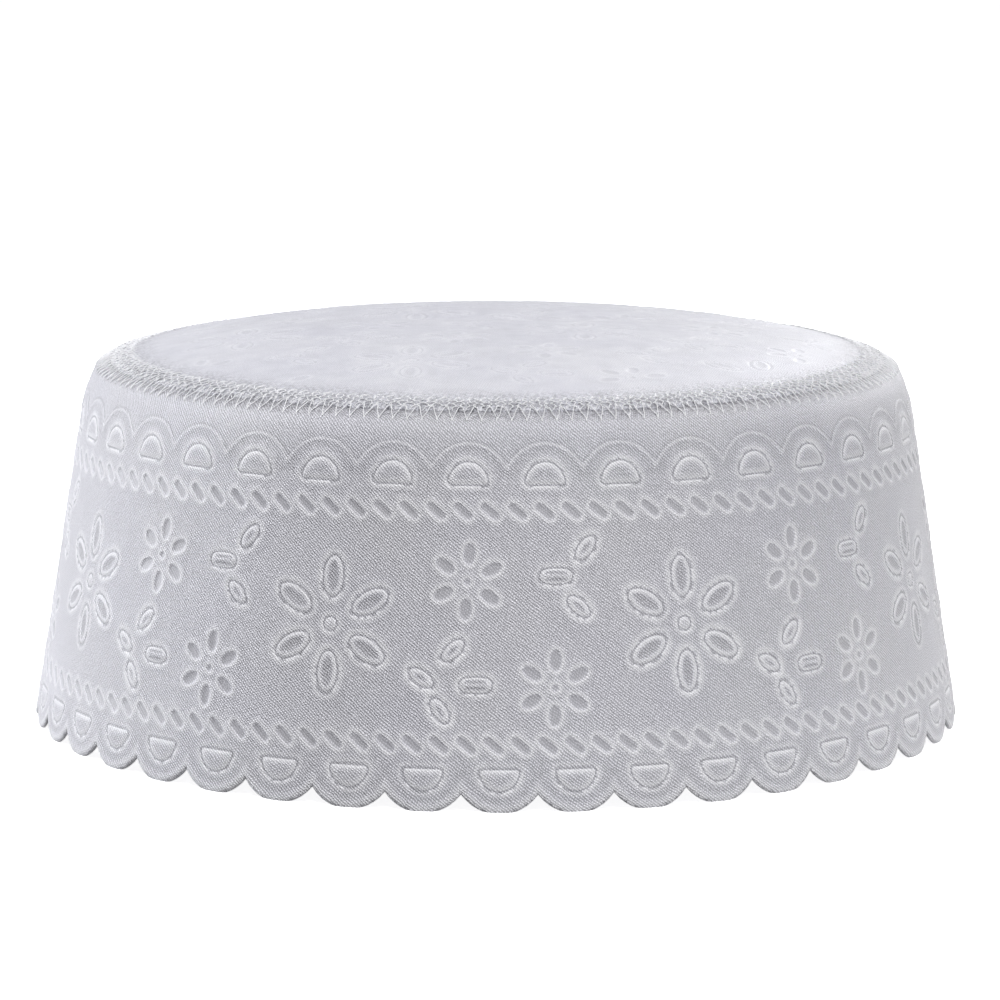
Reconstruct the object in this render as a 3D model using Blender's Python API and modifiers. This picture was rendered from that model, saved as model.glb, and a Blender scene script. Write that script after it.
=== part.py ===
"""A round white prayer cap: a flared side band with a scalloped hem, and a gently domed crown.

Metres, +Z up. The cap stands on the lowest points of its scallops at z = 0, and its front faces -Y.
The origin is the centre of its foot. The two pieces are cloth walls that a lapped seam joins at the
top of the band: the band turns in over its shoulder, and the edge of the crown lies on the turned lap.
"""

import math

import bmesh
import bpy
import numpy as np

# The plan of the cap. The hem is an oval, longer front to back, and the seam at the top is a circle.
HEM_HALF_WIDTH = 0.0910
HEM_HALF_DEPTH = 0.0960
SEAM_RADIUS = 0.0800

# Heights above the surface that the hem stands on
TAPER_HEIGHT = 0.0685
LAP_HEIGHT = 0.0695

# The scalloped hem: a whole number of equal scallops, each an arc of a circle
SCALLOP_COUNT = 42
SCALLOP_DEPTH = 0.0034
SCALLOP_SHARE_OFF_CENTRE = 0.05
HEM_TRIM = 0.00025
POINTS_PER_SCALLOP = 5

# The crown
CROWN_RADIUS = 0.0755
CROWN_EDGE_HEIGHT = 0.0702
CROWN_RISE = 0.0065
CROWN_FLATNESS = 3.0
CROWN_SEGMENTS = 72
CROWN_RINGS = 10

# The soft crease that folding leaves across the crown: it bows a little towards the back at its ends
CREASE_DEPTH = 0.0007
CREASE_HALF_WIDTH = 0.0060
CREASE_Y = 0.0080
CREASE_BOW = 0.0170

# Cloth: two layers of satin over a stiff interlining, pressed thin where the crown's edge is sewn down
BAND_THICKNESS = 0.0012
CROWN_THICKNESS = 0.0010
EDGE_THICKNESS_SHARE = 0.4
EDGE_PRESS_WIDTH = 0.0120

# The band's upright section, from the turned lap down to the hem: name, height, inset from the taper
BAND_SECTION = (
    ("lap_end", LAP_HEIGHT, 0.0075),
    ("crown_edge_line", LAP_HEIGHT, 0.0045),
    ("shoulder_top", TAPER_HEIGHT, 0.0016),
    ("shoulder", 0.0665, 0.0008),
    ("shoulder_foot", 0.0640, 0.00035),
    ("upper_wall", 0.0600, 0.0),
    ("middle_wall", 0.0320, 0.0),
    ("scallop_tops", 0.0042, 0.0),
    ("hem", 0.0, 0.0),
)

SATIN_COLOUR = (0.80, 0.80, 0.83, 1.0)
CROWN_COLOUR = (0.84, 0.84, 0.87, 1.0)
SATIN_ROUGHNESS = 0.45
MERGE_DISTANCE = 0.00001
HEM_MEASURING_STEPS = 7200
SHARP_ANGLE = math.radians(35)
CUTTER_HALF_SIZE = 0.15
CUTTER_HEIGHT = 0.02


def clear_scene():
    for old in list(bpy.data.objects):
        bpy.data.objects.remove(old, do_unlink=True)


def make_collection(name):
    collection = bpy.data.collections.new(name)
    bpy.context.scene.collection.children.link(collection)
    return collection


def cloth_material(name, colour):
    """A plain satin finish."""
    material = bpy.data.materials.new(name)
    material.use_nodes = True
    shader = material.node_tree.nodes["Principled BSDF"]
    shader.inputs["Base Color"].default_value = colour
    shader.inputs["Roughness"].default_value = SATIN_ROUGHNESS
    shader.inputs["Metallic"].default_value = 0.0
    return material


def plan_point(turn, height, inset):
    """A point of the cap's plan. turn is 0 at the front and grows towards +X."""
    share = 1.0 - height / TAPER_HEIGHT
    half_width = SEAM_RADIUS + (HEM_HALF_WIDTH - SEAM_RADIUS) * max(share, 0.0) - inset
    half_depth = SEAM_RADIUS + (HEM_HALF_DEPTH - SEAM_RADIUS) * max(share, 0.0) - inset
    return half_width * math.sin(turn), -half_depth * math.cos(turn)


def hem_turns():
    """The turn at each column of the band, an even arc length apart along the hem."""
    fine = np.linspace(0.0, 2.0 * math.pi, HEM_MEASURING_STEPS + 1)
    across = HEM_HALF_WIDTH * np.sin(fine)
    along = -HEM_HALF_DEPTH * np.cos(fine)
    steps = np.hypot(np.diff(across), np.diff(along))
    lengths = np.concatenate(([0.0], np.cumsum(steps)))
    columns = SCALLOP_COUNT * POINTS_PER_SCALLOP
    pitch = lengths[-1] / SCALLOP_COUNT
    first = (SCALLOP_SHARE_OFF_CENTRE + 0.5 / POINTS_PER_SCALLOP) * pitch
    places = first + lengths[-1] * np.arange(columns) / columns
    return np.interp(places % lengths[-1], lengths, fine), pitch


def scallop_height(column, pitch):
    """How far the hem rises above a scallop's lowest point, less the trim."""
    share = ((column + 0.5) / POINTS_PER_SCALLOP + 0.5) % 1.0 - 0.5
    half = pitch / 2.0
    radius = (half * half + SCALLOP_DEPTH * SCALLOP_DEPTH) / (2.0 * SCALLOP_DEPTH)
    across = share * pitch
    return radius - math.sqrt(radius * radius - across * across) - HEM_TRIM


def turned_sheet(name, profile, steps):
    """An open sheet, turned about Z with a Screw modifier from a profile of (radius, height) points."""
    mesh = bpy.data.meshes.new(name + "_profile")
    points = [(radius, 0.0, height) for radius, height in profile]
    edges = [(index, index + 1) for index in range(len(points) - 1)]
    mesh.from_pydata(points, edges, [])
    turned = bpy.data.objects.new(name + "_profile", mesh)
    bpy.context.scene.collection.objects.link(turned)
    screw = turned.modifiers.new("turn", "SCREW")
    screw.axis = "Z"
    screw.angle = 2.0 * math.pi
    screw.steps = steps
    screw.render_steps = steps
    screw.use_merge_vertices = True
    screw.merge_threshold = MERGE_DISTANCE
    bpy.context.view_layer.update()
    evaluated = turned.evaluated_get(bpy.context.evaluated_depsgraph_get())
    sheet = bpy.data.meshes.new_from_object(evaluated)
    bpy.data.objects.remove(turned, do_unlink=True)
    sheet.name = name
    work = bmesh.new()
    work.from_mesh(sheet)
    bmesh.ops.remove_doubles(work, verts=work.verts, dist=MERGE_DISTANCE)
    work.to_mesh(sheet)
    work.free()
    return sheet


def column_of(vertex, steps):
    """Which column of a turned sheet a vertex stands in, counted from the profile."""
    angle = math.atan2(vertex.co.y, vertex.co.x) % (2.0 * math.pi)
    return round(angle / (2.0 * math.pi) * steps) % steps


def add_solidify(piece, thickness):
    """Gives the sheet its wall, on its inner side."""
    wall = piece.modifiers.new("cloth_wall", "SOLIDIFY")
    wall.thickness = thickness
    wall.offset = -1.0
    wall.use_even_offset = True
    wall.use_quality_normals = True
    return wall


def place(name, sheet, material, collection, parent):
    sheet.materials.append(material)
    sheet.shade_smooth()
    sheet.set_sharp_from_angle(angle=SHARP_ANGLE)
    piece = bpy.data.objects.new(name, sheet)
    piece.parent = parent
    collection.objects.link(piece)
    return piece


def make_side_band(collection, parent, cutters):
    """The flared wall, its rounded shoulder and the lap that it turns in under the crown."""
    columns = SCALLOP_COUNT * POINTS_PER_SCALLOP
    profile = [(SEAM_RADIUS - inset, height) for _name, height, inset in BAND_SECTION]
    sheet = turned_sheet("side_band", profile, columns)
    turns, pitch = hem_turns()
    for vertex in sheet.vertices:
        column = column_of(vertex, columns)
        inset = SEAM_RADIUS - math.hypot(vertex.co.x, vertex.co.y)
        if vertex.co.z < MERGE_DISTANCE:
            vertex.co.z = scallop_height(column, pitch)
        vertex.co.x, vertex.co.y = plan_point(turns[column], vertex.co.z, inset)
    material = cloth_material("band_satin", SATIN_COLOUR)
    band = place("side_band", sheet, material, collection, parent)
    add_solidify(band, BAND_THICKNESS)
    trim = band.modifiers.new("trim_hem_flat", "BOOLEAN")
    trim.operation = "DIFFERENCE"
    trim.solver = "EXACT"
    trim.object = make_hem_cutter(cutters)
    return band


def make_hem_cutter(cutters):
    """A block whose top is the surface that the cap stands on. It trims each scallop's tip flat."""
    mesh = bpy.data.meshes.new("hem_cutter")
    work = bmesh.new()
    bmesh.ops.create_cube(work, size=1.0)
    bmesh.ops.scale(work, verts=work.verts, vec=(2 * CUTTER_HALF_SIZE, 2 * CUTTER_HALF_SIZE, CUTTER_HEIGHT))
    work.to_mesh(mesh)
    work.free()
    cutter = bpy.data.objects.new("hem_cutter", mesh)
    cutter.location = (0.0, 0.0, -CUTTER_HEIGHT / 2.0)
    cutter.hide_render = True
    cutter.display_type = "WIRE"
    cutters.objects.link(cutter)
    return cutter


def crown_height(x, y):
    """The crown's upper surface: a dome that is flattest in the middle, with the soft crease across it."""
    share = min(math.hypot(x, y) / CROWN_RADIUS, 1.0)
    dome = CROWN_RISE * (1.0 - share ** CROWN_FLATNESS)
    crease_line = CREASE_Y + CREASE_BOW * (x / CROWN_RADIUS) ** 2
    fall = math.exp(-(((y - crease_line) / CREASE_HALF_WIDTH) ** 2))
    return CROWN_EDGE_HEIGHT + dome - CREASE_DEPTH * fall * (1.0 - share ** 2)


def make_crown(collection, parent):
    """The domed disc, thinned towards the edge that is sewn down on the band's lap."""
    rings = [CROWN_RADIUS * math.sin(math.pi / 2.0 * ring / CROWN_RINGS) for ring in range(CROWN_RINGS + 1)]
    profile = [(radius, CROWN_EDGE_HEIGHT) for radius in rings]
    sheet = turned_sheet("crown", profile, CROWN_SEGMENTS)
    for vertex in sheet.vertices:
        vertex.co.z = crown_height(vertex.co.x, vertex.co.y)
    material = cloth_material("crown_satin", CROWN_COLOUR)
    crown = place("crown", sheet, material, collection, parent)
    press = crown.vertex_groups.new(name="full_thickness")
    for vertex in sheet.vertices:
        from_edge = CROWN_RADIUS - math.hypot(vertex.co.x, vertex.co.y)
        press.add([vertex.index], min(max(from_edge / EDGE_PRESS_WIDTH, 0.0), 1.0), "REPLACE")
    wall = add_solidify(crown, CROWN_THICKNESS)
    wall.vertex_group = press.name
    wall.thickness_vertex_group = EDGE_THICKNESS_SHARE
    return crown


def main():
    clear_scene()
    collection = make_collection("prayer_cap")
    cutters = make_collection("prayer_cap_cutters")
    foot = bpy.data.objects.new("prayer_cap_foot", None)
    collection.objects.link(foot)
    make_side_band(collection, foot, cutters)
    make_crown(collection, foot)
    bpy.context.view_layer.update()


main()
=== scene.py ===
"""The looks of a white prayer cap: embossed satin band and crown, sewn edges and a pale studio floor.

The cap's pattern is laid out on flat charts, in millimetres, and wrapped on the shapes that the frame
gives. On the band's chart one axis runs round the cap from its front and the other climbs the wall.
"""

import math
from collections import namedtuple

import bmesh
import bpy
import numpy as np
from mathutils import Euler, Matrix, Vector
from mathutils.geometry import delaunay_2d_cdt


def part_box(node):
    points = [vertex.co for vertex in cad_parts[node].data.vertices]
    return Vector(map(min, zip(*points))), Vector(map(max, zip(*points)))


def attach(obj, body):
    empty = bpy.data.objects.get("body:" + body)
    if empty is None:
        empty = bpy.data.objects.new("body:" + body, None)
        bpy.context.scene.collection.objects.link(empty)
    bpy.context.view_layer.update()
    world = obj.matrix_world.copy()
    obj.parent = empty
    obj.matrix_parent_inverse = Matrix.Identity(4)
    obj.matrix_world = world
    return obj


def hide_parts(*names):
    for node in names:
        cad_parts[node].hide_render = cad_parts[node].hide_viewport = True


bl_info = {
    "name": "Embossed Satin Cap",
    "version": (1, 0, 0),
    "blender": (4, 5, 0),
    "location": "3D View > Sidebar > Cap",
    "description": "Dresses a white prayer cap in embossed satin, sews its edges and lights it",
    "category": "Object",
}

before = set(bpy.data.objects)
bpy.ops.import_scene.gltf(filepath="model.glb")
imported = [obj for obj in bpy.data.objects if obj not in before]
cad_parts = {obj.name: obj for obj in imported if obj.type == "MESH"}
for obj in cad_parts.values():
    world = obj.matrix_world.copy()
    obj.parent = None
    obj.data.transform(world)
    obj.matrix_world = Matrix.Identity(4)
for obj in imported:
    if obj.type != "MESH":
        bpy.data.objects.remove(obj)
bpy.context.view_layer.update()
BAND_LOW, BAND_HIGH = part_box("side_band")
CROWN_LOW, CROWN_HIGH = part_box("crown")

# The charts are in millimetres and the scene is in metres
MM = 0.001

# The cap's shape, from the frame: an oval hem, a round seam, and a crown whose edge lies on the band's lap
HEM_HALF_WIDTH = (BAND_HIGH.x - BAND_LOW.x) / 2.0 / MM
HEM_HALF_DEPTH = (BAND_HIGH.y - BAND_LOW.y) / 2.0 / MM
LAP_HEIGHT = BAND_HIGH.z / MM
CROWN_RADIUS = (CROWN_HIGH.x - CROWN_LOW.x) / 2.0 / MM
CROWN_TOP = CROWN_HIGH.z / MM
SEAM_RADIUS = CROWN_RADIUS + 4.5
TAPER_HEIGHT = LAP_HEIGHT - 1.0
CROWN_EDGE_HEIGHT = LAP_HEIGHT + 0.7
CROWN_RISE = CROWN_TOP - CROWN_EDGE_HEIGHT

# The band's section: name, how far the cloth has climbed from the hem, height there, inset from the taper
BAND_SECTION = (
    ("hem", 0.0, 0.0, 0.0),
    ("wall", 30.0, 30.0, 0.0),
    ("upper_wall", 60.0, 60.0, 0.0),
    ("shoulder_foot", 64.0, 64.0, 0.35),
    ("shoulder", 66.5, 66.5, 0.8),
    ("shoulder_top", 68.6, 68.5, 1.6),
    ("crown_edge_line", 71.7, 69.5, 4.5),
    ("lap_end", 74.7, 69.5, 7.5),
)
LAP_END = BAND_SECTION[-1][1]
WALL = 1.2
CROWN_WALL = 1.0
CROWN_EDGE_WALL = 0.4
CROWN_PRESS_WIDTH = 12.0

# The scalloped hem
SCALLOPS = 42
SCALLOP_DEPTH = 3.4
SCALLOP_OFF_CENTRE = 0.05
HEM_TRIM = 0.25
POINTS_PER_SCALLOP = 14

# The crown's dome and the soft crease that folding leaves across it
CROWN_FLATNESS = 3.0
CROWN_EDGE_ROUND = 1.3
CROWN_EDGE_FALL = 0.5
CREASE = {"depth": 0.7, "half_width": 6.0, "y": 8.0, "bow": 17.0}

# The pattern's rows on the band: height of each row and the place of the piece nearest to the front
MOON_PITCH = 13.82
TOP_MOON = {"height": 58.9, "first": -5.1, "width": 7.5, "rise": 4.2}
LOW_MOON = {"height": 5.9, "width": 7.5, "rise": 4.0}
ARCH = {"top": 64.7, "cusp": 60.5}
DASH = {"pitch": 4.91, "length": 3.9, "width": 1.35, "lean": -51.0}
DASH_ROWS = (("upper", 52.5, -1.15), ("lower", 11.6, -0.45))

# The flowered part of the cloth repeats round the band: its width and first place at the middle of the wall,
# and the height of its middle line
REPEAT_WIDTH = 65.6
REPEAT_START = -30.6
REPEAT_MIDDLE = 31.9

# One repeat of the cloth: motif, place from the big flower's centre, lean to the right from upright in degrees
REPEAT_UNIT = (
    ("big_flower", 0.0, 0.0, 0.0),
    ("small_flower", 25.3, 8.3, 3.5),
    ("small_flower", 41.0, -10.3, 2.0),
    ("barrel", 41.6, 9.3, 90.0),
    ("leaf", 47.2, 14.1, 39.0),
    ("leaf", 45.6, 3.9, -49.0),
    ("leaf", 17.3, -8.6, -59.0),
    ("leaf", 22.9, -3.7, 45.0),
    ("barrel", 27.0, -9.7, 90.0),
    ("leaf", 20.8, -14.3, -35.0),
)

# The crown is cut from the same cloth: rows of the repeat, each shifted by half of its width
CROWN_ROW_PITCH = 33.0
CROWN_FIRST_FLOWER = (-16.0, -46.0)
CROWN_PATTERN_RADIUS = 67.0
CROWN_RELIEF = 0.6

# Sections across an outline: distance outwards from its line, rise of the cloth, share that is pressed smooth,
# and tone, which is painted into the colour: painted shade in the grooves and hollows, painted highlight on
# the ridges
GROOVED = (
    (-1.5, 0.15, 0.0, -0.1),
    (-0.85, 0.13, 0.2, 0.25),
    (-0.28, 0.05, 0.5, 0.7),
    (0.0, -0.1, 0.3, -2.0),
    (0.27, 0.04, 0.4, 0.8),
    (0.6, 0.08, 0.2, 0.4),
    (1.3, 0.0, 0.0, 0.0),
)
VEINED = (
    (-1.75, -0.03, 0.0, -0.5),
    (-1.2, -0.01, 0.0, -0.42),
    (-0.75, 0.13, 0.4, 0.45),
    (-0.28, 0.05, 0.5, 0.65),
    (0.0, -0.1, 0.3, -2.0),
    (0.27, 0.04, 0.4, 0.8),
    (0.75, 0.12, 0.2, 0.5),
    (1.6, 0.0, 0.0, 0.0),
)
PRESSED = (
    (-0.6, -0.13, 0.9, -0.7),
    (-0.24, -0.11, 0.9, -0.7),
    (0.06, 0.0, 0.5, -0.1),
    (0.34, 0.11, 0.3, 0.65),
    (0.8, 0.07, 0.1, 0.25),
    (1.4, 0.0, 0.0, 0.0),
)
LINE = (
    (-0.1, -0.08, 0.0, -0.9),
    (0.0, -0.08, 0.0, -0.9),
    (0.28, 0.03, 0.3, 0.4),
    (0.6, 0.0, 0.0, 0.0),
)
ARCHED = (
    (-2.6, 0.0, 0.0, 0.0),
    (-1.6, -0.05, 0.0, -0.2),
    (-0.75, -0.01, 0.0, -0.15),
    (-0.25, 0.13, 0.1, 0.4),
    (0.15, -0.08, 0.0, -0.5),
    (0.55, 0.0, 0.0, 0.0),
)
HEMMED = (
    (-2.9, 0.0, 0.0, 0.0),
    (-2.0, -0.05, 0.0, -0.25),
    (-1.2, 0.10, 0.0, 0.2),
    (-0.65, 0.10, 0.0, 0.5),
    (-0.25, -0.02, 0.0, 0.6),
    (0.0, -0.2, 0.0, 0.6),
    (0.3, -0.2, 0.0, 0.6),
)
SEAMED = (
    (-0.3, -0.4, 0.0, -0.8),
    (0.0, -0.4, 0.0, -0.8),
    (0.35, -0.12, 0.0, -0.2),
    (0.8, 0.06, 0.0, 0.2),
    (1.6, 0.1, 0.0, 0.0),
    (2.4, 0.02, 0.0, 0.0),
    (3.2, 0.0, 0.0, 0.0),
)

# Triangle sizes on the charts
RING_STEP = 0.62
GROUND_STEP = 2.3
LEAST_GAP = 0.27

# Rows of the inner faces: lift from the hem and depth in the cloth, climb up the band's wall, and share of
# the crown's radius. The crown's first share is the rim that it has in common with the outer face.
HEM_ROWS = ((0.5, -0.8), (1.2, -1.0), (2.4, -WALL))
LINING_CLIMBS = (7.0, 14.0, 22.0, 30.0, 40.0, 50.0, 58.0, 62.0, 65.0, 67.0, 68.6, 70.0, 71.7)
CROWN_LINING_SHARES = (1.0, 1.0, 0.98, 0.92, 0.84, 0.72, 0.58, 0.42, 0.26, 0.12, 0.003)
CROWN_RIM_POINTS = 540

# The stitches of the crown's edge and of the back seam
STITCH_PITCH = 2.6
ZIGZAG = {"top_radius": 74.4, "shoulder_radius": 77.3, "foot_radius": 78.7}
OVERLOCK_RADIUS = 71.2
BACK_STITCHES = {"first": 5.0, "last": 66.0, "from_seam": 1.6}

# Shade under the edge's threads: where it starts, the width over which it grows, and its tone. The crown's
# rows start at a radius and the band's at a distance before the end of the lap.
BOUND_SHADES = ((66.5, 4.5, 0.9), (OVERLOCK_RADIUS, 3.0, 2.3))
ZIGZAG_SHADES = ((6.3, 1.2, 0.4), (4.0, 0.8, 0.7))

# Puckers that the threads draw: the radii and heights between which they grow, their shade and their depth
PUCKER_RADII = (66.0, 70.5)
PUCKER_HEIGHTS = (67.6, 68.9)
PUCKER_SHADE = 0.6
PUCKER_DEPTH = 0.28 * MM

# Each satin's looks: contrast and depth of its weave, how far the painted shade and highlights of its relief,
# and its patches, change its colour, and its patchiness
BAND_SATIN = {"contrast": 0.42, "weave_depth": 0.1 * MM, "painted_light_and_patch_depth": 0.38, "patchiness": 0.1}
CROWN_SATIN = {"contrast": 0.2, "weave_depth": 0.05 * MM, "painted_light_and_patch_depth": 0.12, "patchiness": 1.0}
TWILL_LEAN = 40.0
FLOAT_LEAN = 105.0

# The camera, fitted to the photograph: distance and angles about a point above the middle of the foot
CAMERA_PIVOT_HEIGHT = 0.038
CAMERA_DISTANCE = 0.93327
CAMERA_ELEVATION = math.radians(9.352)
CAMERA_ROLL = math.radians(0.196)
CAMERA_AIM = (0.00066, 0.0, 0.04117)
CAMERA_LENS = 170.24
SENSOR_WIDTH = 36.0

# The floor glows just enough to look white, and its glow doesn't light the cloth
FLOOR_GLOW = 0.9
FLOOR_HALF_SIZE = 8.0
SKY_STRENGTH = 0.16


class CapSizes(bpy.types.PropertyGroup):
    """Sizes of the cloth and the thread."""

    relief: bpy.props.FloatProperty(
        name="Relief",
        description="How deep the pattern is pressed, as a share of the charted depth",
        default=1.0,
        min=0.0,
        max=2.0,
    )
    line_pitch: bpy.props.FloatProperty(
        name="Twill pitch",
        description="Distance between the twill's slanting lines",
        default=0.46 * MM,
        unit="LENGTH",
        precision=5,
    )
    thread_radius: bpy.props.FloatProperty(
        name="Thread radius",
        description="Radius of the white sewing thread",
        default=0.09 * MM,
        unit="LENGTH",
        precision=5,
    )
    stitch_wobble: bpy.props.FloatProperty(
        name="Stitch wobble",
        description="How far a stitch strays from its place",
        default=0.25 * MM,
        unit="LENGTH",
        precision=5,
    )


class CapColours(bpy.types.PropertyGroup):
    """Colours of the cloth, the thread and the floor."""

    band: bpy.props.FloatVectorProperty(
        name="Band satin",
        description="Colour of the band's satin",
        subtype="COLOR",
        size=4,
        default=(0.68, 0.675, 0.715, 1.0),
    )
    crown: bpy.props.FloatVectorProperty(
        name="Crown satin",
        description="Colour of the crown's satin",
        subtype="COLOR",
        size=4,
        default=(0.685, 0.685, 0.732, 1.0),
    )
    thread: bpy.props.FloatVectorProperty(
        name="Thread",
        description="Colour of the sewing thread",
        subtype="COLOR",
        size=4,
        default=(0.88, 0.88, 0.90, 1.0),
    )
    floor: bpy.props.FloatVectorProperty(
        name="Floor",
        description="Colour of the studio floor",
        subtype="COLOR",
        size=4,
        default=(0.95, 0.95, 0.95, 1.0),
    )


# The shapes that the charts are wrapped on


def smooth_table(at, places, values):
    """Values between the rows of a table, on a smooth curve that doesn't overshoot."""
    places = np.asarray(places, float)
    values = np.asarray(values, float)
    steps = np.diff(places)
    slopes = np.diff(values) / steps
    product = slopes[:-1] * slopes[1:]
    total = slopes[:-1] + slopes[1:]
    inner = np.where(product > 0.0, 2.0 * product / np.where(total == 0.0, 1.0, total), 0.0)
    tangents = np.concatenate(([slopes[0]], inner, [slopes[-1]]))
    row = np.clip(np.searchsorted(places, at) - 1, 0, len(steps) - 1)
    t = (at - places[row]) / steps[row]
    start = values[row] * (1 + 2 * t) * (1 - t) ** 2 + tangents[row] * steps[row] * t * (1 - t) ** 2
    end = values[row + 1] * t * t * (3 - 2 * t) - tangents[row + 1] * steps[row] * t * t * (1 - t)
    return start + end


def section_at(climb):
    """The height and the inset of the band's cloth where it has climbed so far."""
    climbs = [row[1] for row in BAND_SECTION]
    heights = [row[2] for row in BAND_SECTION]
    insets = [row[3] for row in BAND_SECTION]
    return smooth_table(climb, climbs, heights), smooth_table(climb, climbs, insets)


def plan_halves(height, inset):
    """Half of the cap's width and half of its depth at a height."""
    share = np.maximum(1.0 - height / TAPER_HEIGHT, 0.0)
    half_width = SEAM_RADIUS + (HEM_HALF_WIDTH - SEAM_RADIUS) * share - inset
    half_depth = SEAM_RADIUS + (HEM_HALF_DEPTH - SEAM_RADIUS) * share - inset
    return half_width, half_depth


def plan_length(height):
    """How far it is round the cap at a height. The plan is so nearly round that this is close."""
    half_width, half_depth = plan_halves(height, 0.0)
    return 2.0 * math.pi * np.sqrt((half_width**2 + half_depth**2) / 2.0)


CHART_WIDTH = float(plan_length(32.0))


def stretch_at(height):
    """Real millimetres for each millimetre round the band's chart."""
    return plan_length(height) / CHART_WIDTH


def band_surface(across, climb):
    """Points of the band's outer face, in millimetres."""
    height, inset = section_at(climb)
    half_width, half_depth = plan_halves(height, inset)
    even = 2.0 * math.pi * across / CHART_WIDTH
    squeeze = (half_depth**2 - half_width**2) / (4.0 * (half_width**2 + half_depth**2))
    turn = even
    for _step in range(3):
        turn = even + squeeze * np.sin(2.0 * turn)
    return np.stack([half_width * np.sin(turn), -half_depth * np.cos(turn), height], -1)


def crown_surface(x, y):
    """Points of the crown's upper face, in millimetres."""
    share = np.minimum(np.hypot(x, y) / CROWN_RADIUS, 1.0)
    dome = CROWN_RISE * (1.0 - share**CROWN_FLATNESS)
    crease_line = CREASE["y"] + CREASE["bow"] * (x / CROWN_RADIUS) ** 2
    fall = np.exp(-(((y - crease_line) / CREASE["half_width"]) ** 2))
    crease = CREASE["depth"] * fall * (1.0 - share**2)
    to_edge = np.clip((share - 1.0) * CROWN_RADIUS / CROWN_EDGE_ROUND + 1.0, 0.0, 1.0)
    height = CROWN_EDGE_HEIGHT + dome - crease - CROWN_EDGE_FALL * to_edge**2
    return np.stack([x + 0.0 * y, y + 0.0 * x, height], -1)


def raised(surface, across, along, rise):
    """Points of a surface, moved along its outward normal by rise."""
    step = 0.05
    point = surface(across, along)
    side = surface(across + step, along) - surface(across - step, along)
    up = surface(across, along + step) - surface(across, along - step)
    normal = np.cross(side, up)
    normal /= np.linalg.norm(normal, axis=-1, keepdims=True)
    return point + normal * np.asarray(rise)[..., None]


# Outlines of the motifs, in millimetres about their own centres, counter-clockwise


def resample(outline, step):
    """A closed outline with its points an even step apart."""
    closed = np.vstack([outline, outline[:1]])
    lengths = np.concatenate(([0.0], np.cumsum(np.hypot(*np.diff(closed, axis=0).T))))
    count = max(int(round(lengths[-1] / step)), 8)
    places = lengths[-1] * np.arange(count) / count
    return np.stack([np.interp(places, lengths, closed[:, axis]) for axis in (0, 1)], -1)


def rounded(outline, step, passes):
    """A closed outline whose corners are softened by averaging."""
    points = resample(outline, step)
    for _pass in range(passes):
        points = (np.roll(points, 1, 0) + 2.0 * points + np.roll(points, -1, 0)) / 4.0
    return points


def oval(length, width, squareness=2.0):
    turns = np.linspace(0.0, 2.0 * math.pi, 120, endpoint=False)
    x = np.sign(np.cos(turns)) * np.abs(np.cos(turns)) ** (2.0 / squareness) * width / 2.0
    y = np.sign(np.sin(turns)) * np.abs(np.sin(turns)) ** (2.0 / squareness) * length / 2.0
    return resample(np.stack([x, y], -1), RING_STEP)


def half_moon(width, rise, dome_up):
    turns = np.linspace(0.0, math.pi, 40)
    dome = np.stack([np.cos(turns) * width / 2.0, np.sin(turns) * rise - rise * 0.42], -1)
    outline = rounded(dome, 0.3, 3)
    if not dome_up:
        outline = -outline
    return resample(outline, RING_STEP)


def turned(outline, lean):
    """An outline leaned to the right by some degrees."""
    angle = math.radians(lean)
    x, y = outline.T
    across = x * math.cos(angle) + y * math.sin(angle)
    along = y * math.cos(angle) - x * math.sin(angle)
    return np.stack([across, along], -1)


Piece = namedtuple("Piece", "outline across along section")


def petals(count, reach, length, width, section):
    """Petals round a flower's centre, the first straight up."""
    found = []
    for index in range(count):
        lean = 360.0 * index / count
        angle = math.radians(lean)
        outline = turned(oval(length, width), lean)
        found.append(Piece(outline, reach * math.sin(angle), reach * math.cos(angle), section))
    return found


def big_flower():
    return petals(6, 8.4, 7.5, 4.0, VEINED) + [Piece(oval(2.6, 2.6), 0.0, 0.0, GROOVED)]


def small_flower():
    return petals(6, 4.85, 3.7, 1.95, PRESSED) + [Piece(oval(1.1, 1.1), 0.0, 0.0, PRESSED)]


def leaf():
    return [Piece(oval(5.3, 2.7, 1.9), 0.0, 0.0, VEINED)]


def barrel():
    ribs = [Piece(oval(3.9, 0.2), x, 0.0, LINE) for x in (-0.62, 0.62)]
    return [Piece(oval(6.1, 2.9, 2.8), 0.0, 0.0, GROOVED)] + ribs


MOTIFS = {"big_flower": big_flower, "small_flower": small_flower, "leaf": leaf, "barrel": barrel}


def motif_at(name, across, along, lean):
    """A motif's pieces, leaned and set in their place, without any stretch."""
    found = []
    for piece in MOTIFS[name]():
        centre = turned(np.array([[piece.across, piece.along]]), lean)[0]
        found.append(Piece(turned(piece.outline, lean), across + centre[0], along + centre[1], piece.section))
    return found


# Relief: shapes that lie on a chart, each with the distance of points from its line


class Outline:
    """A closed, convex line on a chart."""

    def __init__(self, line, section):
        self.line = line
        self.section = section
        reach = section[-1][0]
        self.low = line.min(0) - reach
        self.high = line.max(0) + reach

    def distance(self, points):
        ends = np.roll(self.line, -1, 0)
        along = ends - self.line
        away = points[:, None, :] - self.line[None]
        share = np.clip((away * along).sum(-1) / (along * along).sum(-1), 0.0, 1.0)
        gap = np.linalg.norm(away - share[..., None] * along, axis=-1).min(1)
        left = along[:, 0] * away[..., 1] - along[:, 1] * away[..., 0]
        return np.where((left >= 0.0).all(1), -gap, gap)

    def ring(self, offset):
        tangent = np.roll(self.line, -1, 0) - np.roll(self.line, 1, 0)
        tangent /= np.linalg.norm(tangent, axis=1, keepdims=True)
        moved = self.line + offset * np.stack([tangent[:, 1], -tangent[:, 0]], -1)
        return moved[np.abs(self.distance(moved) - offset) < 0.09]

    def weight(self, _points):
        return 1.0


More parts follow.
